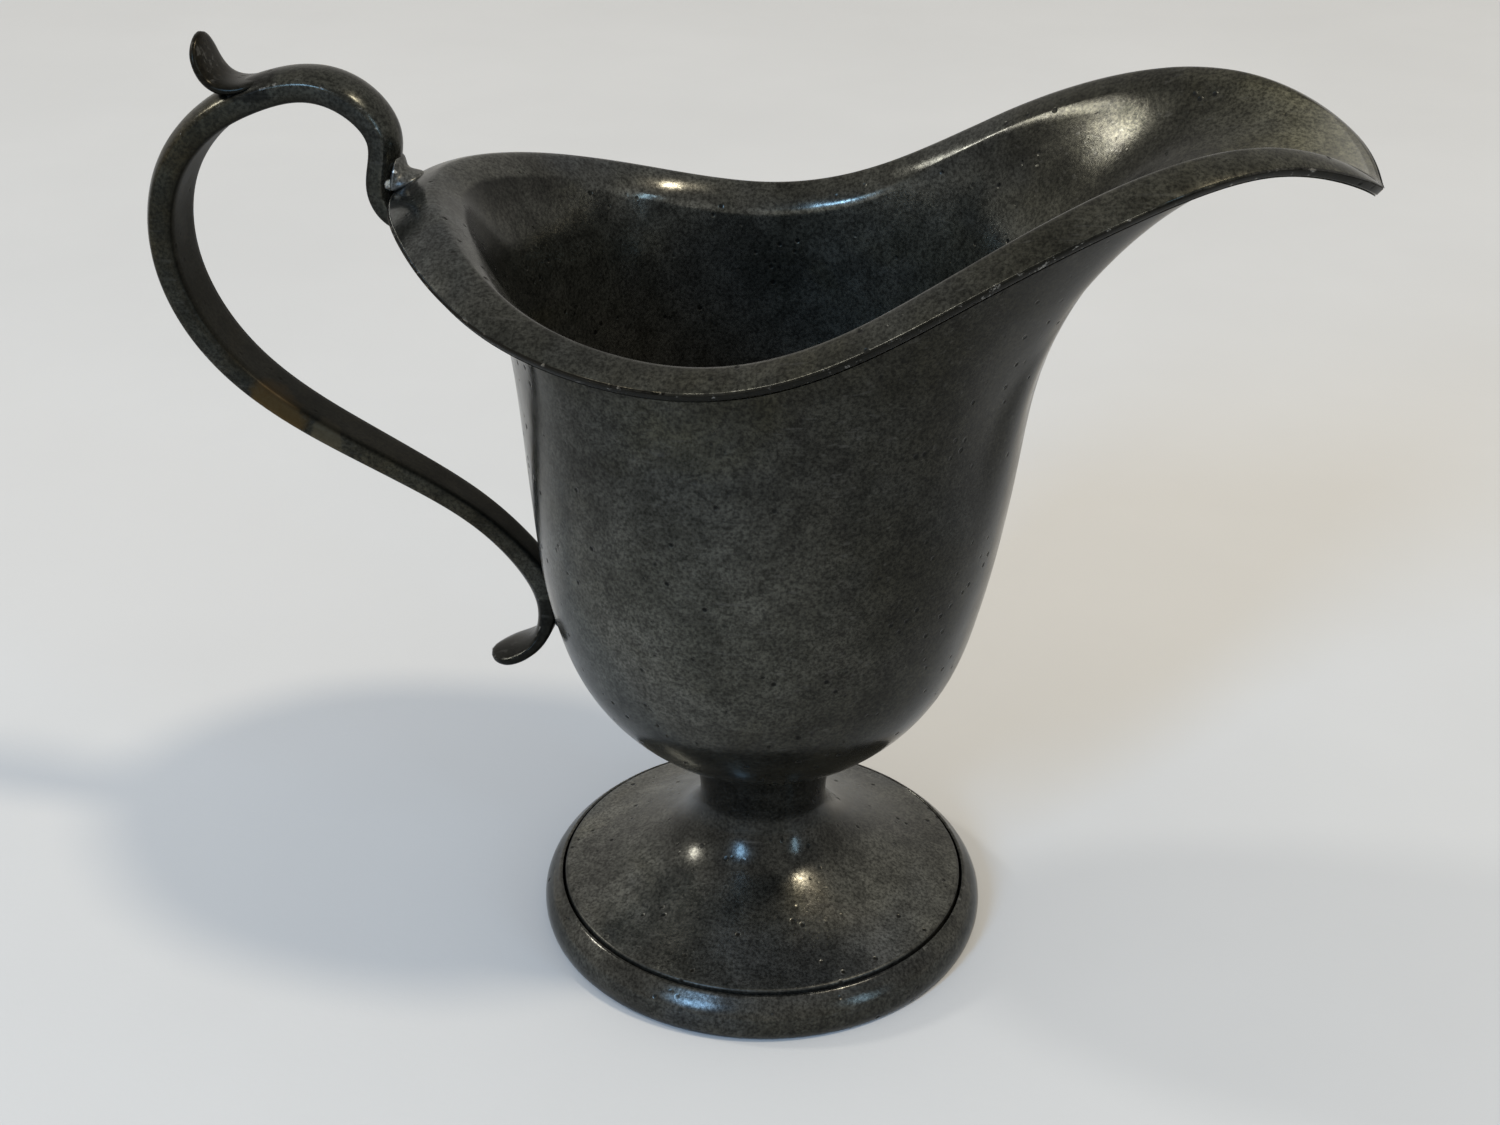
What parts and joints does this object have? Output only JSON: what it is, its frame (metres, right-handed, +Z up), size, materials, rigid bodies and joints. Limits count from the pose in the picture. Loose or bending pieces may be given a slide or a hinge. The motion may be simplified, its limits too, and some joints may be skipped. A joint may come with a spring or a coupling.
{
  "type": "sauce boat",
  "caption": "Footed pewter sauce boat with a helmet-shaped bowl, rolled lip, long pouring spout, scrolled strap handle with thumb leaf, and hollow trumpet foot.",
  "frame": {"origin": "on the table, under the middle of the whole object's bounding box; the bowl's axis stands 4.86 mm towards the spout from it", "axes": "+X from the handle to the spout, +Z up, symmetric about the plane Y = 0"},
  "size_m": [0.1488, 0.072, 0.1201],
  "materials": {
    "body_pewter": "satin",
    "handle_pewter": "satin",
    "solder": "satin"
  },
  "bodies": {
    "root": {"bowl": "body_pewter", "foot": "body_pewter", "foot_moulding": "body_pewter", "handle_strap": "handle_pewter", "thumb_leaf": "handle_pewter", "neck_solder": "solder", "upper_handle_solder": "solder", "lower_handle_solder": "solder"}
  },
  "joints": []
}
